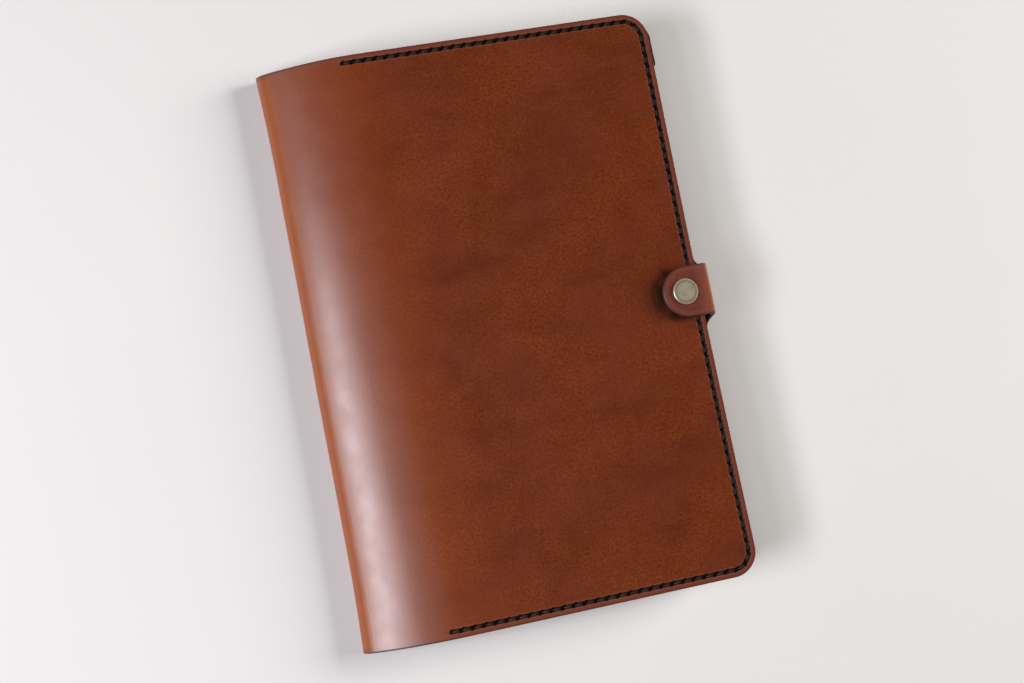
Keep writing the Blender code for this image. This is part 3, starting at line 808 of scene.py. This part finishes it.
def leaf_faces(begin, count):
    """The faces of a leaf whose points are pairs at each x, first on its under face and then on its upper."""
    faces = []
    for i in range(count - 1):
        a, b = begin + 2 * i, begin + 2 * (i + count)
        faces += [(a, a + 2, a + 3, a + 1), (b, b + 1, b + 3, b + 2)]
        faces += [(a, b, b + 2, a + 2), (a + 1, a + 3, b + 3, b + 1)]
    a, b = begin, begin + 2 * count
    faces.append((a, a + 1, b + 1, b))
    a, b = a + 2 * (count - 1), b + 2 * (count - 1)
    faces.append((a, b, b + 1, a + 1))
    return faces


def make_pages(material):
    """Each section becomes a stack of thick leaves whose edges don't quite line up."""
    for number in range(1, 7):
        node = f"page_section_{number}"
        chance = random.Random(number)
        columns = section_outline(node)
        xs = np.array([x for x, _ in columns])
        floor = np.array([z[0] for _, z in columns])
        ceiling = np.array([z[1] for _, z in columns])
        half = high(node).y
        grid = np.concatenate([xs, np.linspace(xs[0], xs[0] + PAGE_FINE, 12)])
        grid = np.unique(np.round(grid, 2))
        points, faces = [], []
        for leaf in range(LEAVES):
            fore, head, tail = (chance.uniform(LEAF_SHORT, LEAF_LONG) for _ in range(3))
            faces += leaf_faces(len(points), len(grid))
            for share in (leaf / LEAVES, (leaf + LEAF_SHARE) / LEAVES):
                for x in grid:
                    bottom, top = np.interp(x, xs, floor), np.interp(x, xs, ceiling)
                    reach = fore if x == grid[-1] else 0.0
                    for y in (-half - tail, half + head):
                        points.append((x + reach, y, bottom + share * (top - bottom)))
        mesh = bpy.data.meshes.new(node + "_leaves")
        mesh.from_pydata(np.array(points) * METRES, [], faces)
        made = finished(node + "_leaves", mesh, sharp=20)
        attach(made, "back")
        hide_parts(node)
        dress(made, material)


# Materials


class Finish:
    """A node material. Its calls add nodes and return what comes out of them."""

    def __init__(self, name):
        self.material = bpy.data.materials.new(name)
        self.material.use_nodes = True
        self.tree = self.material.node_tree
        self.shader = self.tree.nodes["Principled BSDF"]

    def add(self, kind, inputs=None, **settings):
        node = self.tree.nodes.new("ShaderNode" + kind)
        for key, value in settings.items():
            setattr(node, key, value)
        for key, value in (inputs or {}).items():
            self.feed(node.inputs[key], value)
        return node.outputs

    def feed(self, socket, value):
        if isinstance(value, bpy.types.NodeSocket):
            self.tree.links.new(value, socket)
        else:
            socket.default_value = value

    def done(self, colour, rough, **others):
        """Feeds the shader, and gives the finished material."""
        for key, value in {"Base_Color": colour, "Roughness": rough, **others}.items():
            self.feed(self.shader.inputs[key.replace("_", " ")], value)
        return self.material

    def flat(self, scale=(1, 1, 1)):
        """The piece's flat UV place, stretched by scale."""
        uv = self.add("UVMap", uv_map="flat")["UV"]
        return self.add("Mapping", {"Vector": uv, "Scale": scale})["Vector"]

    def solid(self, scale):
        """The point in the object's own space, stretched by scale."""
        place = self.add("TexCoord")["Object"]
        return self.add("Mapping", {"Vector": place, "Scale": scale})["Vector"]

    def noise(self, vector, scale, detail=4.0, rough=0.55):
        inputs = {"Vector": vector, "Scale": scale, "Detail": detail, "Roughness": rough}
        return self.add("TexNoise", inputs)["Fac"]

    def range(self, value, low, high, to_low=0.0, to_high=1.0, smooth=False):
        inputs = {"Value": value, "From Min": low, "From Max": high, "To Min": to_low, "To Max": to_high}
        kind = "SMOOTHSTEP" if smooth else "LINEAR"
        return self.add("MapRange", inputs, interpolation_type=kind)["Result"]

    def past(self, along, place, margin, most):
        """Rises from 0 to most as the flat place passes a length along the blank."""
        return self.range(along, (place - margin) / UV_UNIT, (place + margin) / UV_UNIT, 0, most)

    def mix(self, share, first, second):
        """One colour or the other by share. A Mix node's sockets share their names, so they go by number."""
        node = self.tree.nodes.new("ShaderNodeMix")
        node.data_type = "RGBA"
        for number, value in ((0, share), (6, first), (7, second)):
            self.feed(node.inputs[number], value)
        return node.outputs[2]

    def maths(self, operation, *values):
        node = self.tree.nodes.new("ShaderNodeMath")
        node.operation = operation
        for socket, value in zip(node.inputs, values):
            self.feed(socket, value)
        return node.outputs[0]

    def painted(self, name):
        """A value that the mesh keeps for each of its points."""
        return self.add("Attribute", attribute_name=name)["Fac"]

    def bump(self, height, strength, distance):
        inputs = {"Height": height, "Strength": strength, "Distance": distance * METRES}
        return self.add("Bump", inputs)["Normal"]


# A stretch that makes a noise's scale go by millimetres
FINE = (1000, 1000, 1000)


def rgb(red, green, blue):
    return (red, green, blue, 1.0)


# The leather's colours, in linear light
TAN = {
    "deep": rgb(0.125, 0.0235, 0.005),
    "warm": rgb(0.207, 0.0405, 0.0085),
    "bright": rgb(0.225, 0.048, 0.009),
    "pore": rgb(0.078, 0.013, 0.002),
    "speck": rgb(0.09, 0.013, 0.002),
    "red": rgb(0.16, 0.032, 0.017),
    "cloud": rgb(0.07, 0.01, 0.003),
    "stretched": rgb(0.33, 0.068, 0.016),
    "most stretched": rgb(0.335, 0.082, 0.016),
    # Painted sheen: the tab's face greyer, standing in for the haze of light it reflects
    "tab": rgb(0.13, 0.056, 0.06),
    # Painted shadow along the tab's outline
    "tab_shadow": rgb(0.02, 0.004, 0.002),
    # Painted highlight on the lip outside the seam
    "lip": rgb(0.185, 0.052, 0.032),
    "rim": rgb(0.06, 0.014, 0.01),
    # Painted highlight on the two sides of the seam's groove
    "raised": rgb(0.25, 0.072, 0.04),
    # Painted shade in the seam's pressed groove
    "groove": rgb(0.012, 0.004, 0.003),
    # Painted shadow in the slits the thread goes through
    "slit_shadow": rgb(0.002, 0.001, 0.001),
    "burnished edge": rgb(0.025, 0.007, 0.004),
    "worn edge": rgb(0.055, 0.015, 0.008),
    "flesh": rgb(0.22, 0.1, 0.05),
    "nap": rgb(0.4, 0.21, 0.12),
    # Painted shade: the strap's flesh side, dark as in the shadow under the tab
    "shaded strap flesh": rgb(0.02, 0.006, 0.003),
}


def slit_shadows(finish):
    """A mask of the slanted slits that the thread goes through, one between each two stitches, for their
    painted shadow.
    """
    beside = finish.painted("across")
    on = finish.maths("ADD", finish.painted("stitch"), finish.maths("MULTIPLY", beside, SLIT_LEAN))
    share = finish.maths("FRACT", finish.maths("ADD", on, 0.5))
    off = finish.maths("ABSOLUTE", finish.maths("SUBTRACT", share, 0.5))
    width = finish.range(off, 0.15, 0.1)
    length = finish.range(finish.maths("ABSOLUTE", beside), 1.15, 0.95)
    return finish.maths("MULTIPLY", width, length)


def mottled_face(finish, flat, blotches, grain):
    """The dyed face: blotched, with darker pores and specks, redder patches and soft dark clouds."""
    shades = finish.noise(flat, 2.4, 4, 0.55)
    specks = finish.noise(flat, 34.0, 3, 0.6)
    patches = finish.noise(flat, 3.6, 2, 0.5)
    clouds = finish.noise(finish.flat((1.6, 4.4, 1.0)), 1.5, 5, 0.6)
    face = finish.mix(finish.range(shades, 0.35, 0.65), TAN["deep"], TAN["warm"])
    face = finish.mix(finish.range(blotches, 0.35, 0.7, 0, 0.4), face, TAN["bright"])
    face = finish.mix(finish.range(grain, 0.36, 0.58, 0.85, 0), face, TAN["pore"])
    face = finish.mix(finish.range(specks, 0.35, 0.65, 0.2, 0), face, TAN["speck"])
    face = finish.mix(finish.range(patches, 0.4, 0.65, 0, 0.3), face, TAN["red"])
    return finish.mix(finish.range(clouds, 0.5, 0.74, 0, 0.42), face, TAN["cloud"])


def used_face(finish, face, along):
    """The face brighter where stretched, greyer on the tab as a painted sheen, with a painted shadow round
    the tab.
    """
    worn = finish.painted("worn")
    stretched = finish.mix(finish.range(worn, 0.45, 0.95), TAN["stretched"], TAN["most stretched"])
    face = finish.mix(worn, face, stretched)
    # Painted sheen: the tab greyer and bluer than the rest of the face
    face = finish.mix(finish.past(along, RAMP_S, 2, 0.3), face, TAN["tab"])
    # Painted shadow: the face darkened along the tab's outline, where the tab shades it
    return finish.mix(finish.maths("MULTIPLY", finish.painted("tab_shadow"), 0.93), face, TAN["tab_shadow"])


def edged_face(finish, face, seam):
    """Painted highlights on the lip and the groove's two sides, a dark rim, and painted shade in the seam's
    groove.
    """
    rim = finish.painted("rim")
    # Painted highlight: the lip paler, standing in for the light it catches
    face = finish.mix(finish.range(rim, 2.4, 1.6, 0, 0.55, smooth=True), face, TAN["lip"])
    face = finish.mix(finish.range(rim, 0.9, 0.3, 0, 0.6), face, TAN["rim"])
    # Painted highlight along both sides of the groove
    raised = finish.maths("MULTIPLY", finish.range(seam, 1.5, 1.1), finish.range(seam, 0.75, 0.95))
    face = finish.mix(finish.maths("MULTIPLY", raised, 0.45), face, TAN["raised"])
    # Painted shade: the groove darkened almost to black
    face = finish.mix(finish.range(seam, 0.95, 0.7, 0, 0.95, smooth=True), face, TAN["groove"])
    # Painted shadow: the slits black, standing in for the shade inside the holes
    return finish.mix(slit_shadows(finish), face, TAN["slit_shadow"])


def leather_finish():
    """Waxed tan leather: its face, its burnished edges, and its flesh side, napped but painted dark as shade
    on the strap.
    """
    finish = Finish("leather")
    flat = finish.flat()
    along = finish.add("SeparateXYZ", {"Vector": flat})["X"]
    blotches = finish.noise(flat, 11.0, 4, 0.5)
    grain = finish.noise(flat, 100.0, 5, 0.7)
    seam = finish.painted("seam")
    face = used_face(finish, mottled_face(finish, flat, blotches, grain), along)
    face = edged_face(finish, face, seam)

    stain = finish.noise(flat, 30.0, 3)
    edge = finish.mix(finish.range(stain, 0.3, 0.7), TAN["burnished edge"], TAN["worn edge"])
    flesh = finish.mix(finish.noise(flat, 140.0, 6, 0.7), TAN["flesh"], TAN["nap"])
    # Painted shade: the flesh side darkened past the back cover's edge, on the strap and tab
    flesh = finish.mix(finish.past(along, BACK_EDGE_S, 1, 0.92), flesh, TAN["shaded strap flesh"])
    layer = finish.painted("layer")
    inside = finish.range(layer, 0.9, 0.99, smooth=True)
    colour = finish.mix(finish.range(layer, 0.1, 0.3, smooth=True), face, edge)
    colour = finish.mix(inside, colour, flesh)

    pores = finish.add("TexVoronoi", {"Vector": flat, "Scale": 150.0})["Distance"]
    height = finish.maths("MULTIPLY", grain, 0.6)
    height = finish.maths("ADD", height, finish.range(pores, 0.0, 0.5, 0.0, 0.4))
    rough = finish.range(blotches, 0.3, 0.7, 0.3, 0.36)
    rough = finish.maths("ADD", rough, finish.range(layer, 0.05, 0.2, 0, 0.3))
    rough = finish.maths("SUBTRACT", rough, finish.range(seam, 1.2, 0.6, 0, 0.14))
    rough = finish.maths("ADD", rough, finish.maths("MULTIPLY", inside, 0.2))
    return finish.done(colour, rough, Normal=finish.bump(height, 0.2, 0.1), Specular_IOR_Level=0.65)


def lining_finish():
    """The pockets' leather: thinner, with a matte face and dark edges, widened with painted shade."""
    finish = Finish("lining")
    flat = finish.flat()
    clouds = finish.noise(flat, 5.0, 6, 0.65)
    nap = finish.noise(flat, 160.0, 6, 0.7)
    face = finish.mix(finish.range(clouds, 0.3, 0.7), rgb(0.2, 0.07, 0.03), rgb(0.33, 0.14, 0.07))
    face = finish.mix(finish.range(nap, 0.3, 0.8, 0, 0.5), face, rgb(0.42, 0.21, 0.12))
    seam = finish.painted("seam")
    face = finish.mix(finish.range(seam, 1.1, 0.3, 0, 0.7, smooth=True), face, rgb(0.05, 0.016, 0.008))
    # Dark edges: the dyed edge, widened onto the face as painted shade where the cover shades it
    edge = finish.range(finish.painted("rim"), 1.2, 0.4, smooth=True)
    colour = finish.mix(edge, face, rgb(0.03, 0.008, 0.004))
    rough = finish.range(nap, 0.2, 0.8, 0.6, 0.85)
    return finish.done(colour, rough, Normal=finish.bump(nap, 0.4, 0.1))


def thread_finish():
    """Black waxed thread with its plies showing as slanted ridges, painted darkest as shade where it goes
    into its holes.
    """
    finish = Finish("thread")
    twist = finish.flat((120.0, 2.0, 1.0))
    ply = finish.add("TexWave", {"Vector": twist, "Scale": 0.8}, bands_direction="DIAGONAL")["Fac"]
    fuzz = finish.noise(finish.solid(FINE), 3.0, 4)
    colour = finish.mix(finish.range(fuzz, 0.3, 0.7), rgb(0.008, 0.006, 0.006), rgb(0.028, 0.021, 0.019))
    # Painted shade: the thread darkened towards its ends, where it dips into the holes
    half = STITCH_PITCH / 2 / UV_UNIT
    from_middle = finish.maths("ABSOLUTE", finish.add("SeparateXYZ", {"Vector": finish.flat()})["X"])
    ends = finish.range(from_middle, 0.35 * half, 0.7 * half, smooth=True)
    colour = finish.mix(ends, colour, rgb(0.001, 0.0008, 0.0008))
    rough = finish.range(fuzz, 0.3, 0.7, 0.45, 0.65)
    rough = finish.maths("SUBTRACT", rough, finish.maths("MULTIPLY", ends, 0.3))
    return finish.done(colour, rough, Normal=finish.bump(ply, 0.7, 0.15), Specular_IOR_Level=0.35)


def brass_finish(name, scratch=1.0, patina=0.0):
    """Antiqued brass: greenish, finely scratched, and dark inside a cap's rolled edge if it has patina."""
    finish = Finish(name)
    place = finish.solid(FINE)
    cloud = finish.noise(place, 0.35, 5, 0.6)
    streaks = finish.noise(finish.solid((700, 90, 700)), 3.0, 5, 0.7)
    colour = finish.mix(finish.range(cloud, 0.35, 0.65), rgb(0.5, 0.47, 0.3), rgb(0.8, 0.67, 0.5))
    colour = finish.mix(finish.range(streaks, 0.55, 0.75, 0, 0.35 * scratch), colour, rgb(0.75, 0.66, 0.5))
    if patina:
        radius = finish.painted("radius")
        outer = finish.range(radius, PATINA_END, PATINA_FADE, 0, patina)
        inside = finish.maths("MULTIPLY", finish.range(radius, PATINA_BEGIN, PATINA_FULL), outer)
        colour = finish.mix(inside, colour, rgb(0.09, 0.085, 0.045))
    rough = finish.range(streaks, 0.3, 0.7, 0.28, 0.42)
    metallic = finish.range(cloud, 0.35, 0.65, 0.45, 0.75)
    return finish.done(colour, rough, Metallic=metallic, Normal=finish.bump(streaks, 0.12, 0.05))


def card_finish():
    """The notebook's dark card cover, with a faint linen emboss and pale rubbed edges."""
    finish = Finish("card")
    flat = finish.flat()
    weave = finish.add("TexBrick", {"Vector": flat, "Scale": 120.0, "Mortar Size": 0.02})["Fac"]
    fibres = finish.noise(flat, 60.0, 6, 0.7)
    colour = finish.mix(finish.range(fibres, 0.3, 0.7), rgb(0.022, 0.02, 0.019), rgb(0.045, 0.041, 0.038))
    rubbed = finish.range(finish.painted("rim"), 0.5, 0.0, 0, 0.6)
    colour = finish.mix(rubbed, colour, rgb(0.16, 0.14, 0.12))
    rough = finish.range(fibres, 0.3, 0.7, 0.5, 0.65)
    return finish.done(colour, rough, Normal=finish.bump(weave, 0.25, 0.05))


def paper_finish():
    finish = Finish("paper")
    layers = finish.noise(finish.solid((40, 40, 9000)), 1.0, 4, 0.7)
    fibres = finish.noise(finish.solid(FINE), 0.8, 5)
    colour = finish.mix(finish.range(layers, 0.35, 0.65), rgb(0.62, 0.57, 0.46), rgb(0.83, 0.79, 0.69))
    colour = finish.mix(finish.range(fibres, 0.4, 0.8, 0, 0.25), colour, rgb(0.55, 0.48, 0.36))
    rough = finish.range(fibres, 0, 1, 0.75, 0.9)
    return finish.done(colour, rough, Normal=finish.bump(layers, 0.3, 0.1))


def plain_finish(name, fineness, scale, detail, shades, rough, metallic=0.0):
    """A material whose colour and roughness both follow one noise through the solid."""
    finish = Finish(name)
    grain = finish.noise(finish.solid([fineness] * 3), scale, detail)
    return finish.done(finish.mix(grain, *shades), finish.range(grain, *rough), Metallic=metallic)


def repaint_nodes():
    """CAD nodes whose shape is right keep it, and get a finished material."""
    brass = brass_finish("brass_small", 0.6)
    bright, dull = rgb(0.6, 0.6, 0.61), rgb(0.42, 0.42, 0.43)
    steel = plain_finish("steel", 1000, 2.0, 3, (dull, bright), (0.2, 0.8, 0.22, 0.38), metallic=1.0)
    light, shade = rgb(0.78, 0.76, 0.68), rgb(0.6, 0.58, 0.5)
    cloth = plain_finish("cloth", 1500, 1.0, 2, (shade, light), (0, 1, 0.8, 0.95))
    for node, material in (
        ("snap_socket", brass),
        ("snap_stud", brass),
        ("snap_eyelet", brass),
        ("snap_spring", steel),
        ("spine_liner", cloth),
    ):
        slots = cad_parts[node].data.materials
        slots.clear()
        slots.append(material)


# The setting


def make_floor():
    """A plain pale floor, a hair below the cover so that the two never share a plane."""
    bm = bmesh.new()
    bmesh.ops.create_grid(bm, x_segments=8, y_segments=8, size=4.0)
    mesh = bpy.data.meshes.new("floor")
    bm.to_mesh(mesh)
    bm.free()
    floor = added("floor", mesh)
    floor.location.z = -0.3 * METRES
    shades = (rgb(0.76, 0.745, 0.73), rgb(0.8, 0.785, 0.77))
    mesh.materials.append(plain_finish("floor", 6, 1.0, 4, shades, (0, 1, 0.75, 0.85)))


def area_light(name, place, target, size, power, colour):
    """A rectangular light that faces its target. Lengths are in metres and power is in watts."""
    light = bpy.data.lights.new(name, "AREA")
    light.shape = "RECTANGLE"
    light.size, light.size_y = size
    light.energy = power
    light.color = colour
    made = added(name, light)
    made.location = place
    made.rotation_euler = (Vector(target) - Vector(place)).to_track_quat("-Z", "Y").to_euler()
    return made


def make_lights():
    """A window beyond the spine, brightest low down, a key beyond the fore edge, and little from overhead."""
    spine = (-0.07, -0.02, 0)
    daylight = (0.97, 0.955, 1.02)
    area_light("window_low", (-1.043, -0.155, 0.72), spine, (0.61, 0.2), 9.1, daylight)
    area_light("window_high", (-0.88, -0.155, 0.9), spine, (0.61, 0.34), 4.4, daylight)
    area_light("ceiling", (-0.48, -0.1, 1.13), spine, (0.61, 0.5), 0.8, (1.0, 0.98, 0.96))
    key = area_light("key", (1.55, 0.2, 0.85), (0, 0, 0), (0.8, 0.8), 34.0, (1.0, 0.975, 0.94))
    key.visible_glossy = False
    world = bpy.data.worlds.new("studio")
    world.use_nodes = True
    background = world.node_tree.nodes["Background"].inputs
    background["Color"].default_value = rgb(0.95, 0.97, 1.0)
    background["Strength"].default_value = 0.05
    bpy.context.scene.world = world


def make_camera():
    """Almost straight above, turned 11 degrees, with a 50 mm lens."""
    camera = bpy.data.cameras.new("camera")
    camera.sensor_width, camera.lens = 36.0, 50.0
    camera.clip_start, camera.clip_end = 0.01, 20.0
    beyond_spine, along_spine, height = 17.44, -36.08, 549.06
    turns = (4.966, -9.130, -11.210)
    made = added("camera", camera)
    made.location = Vector((SPINE_X - beyond_spine, along_spine, height)) * METRES
    made.rotation_euler = [math.radians(turn) for turn in turns]
    bpy.context.scene.camera = made


def main():
    make_leather(leather_finish())
    make_linings(lining_finish())
    make_seams(thread_finish())
    make_cap(brass_finish("brass", patina=0.5))
    make_notebook_cover(card_finish())
    make_pages(paper_finish())
    repaint_nodes()
    make_floor()
    make_lights()
    make_camera()
    bpy.context.scene.view_settings.view_transform = "Standard"


main()
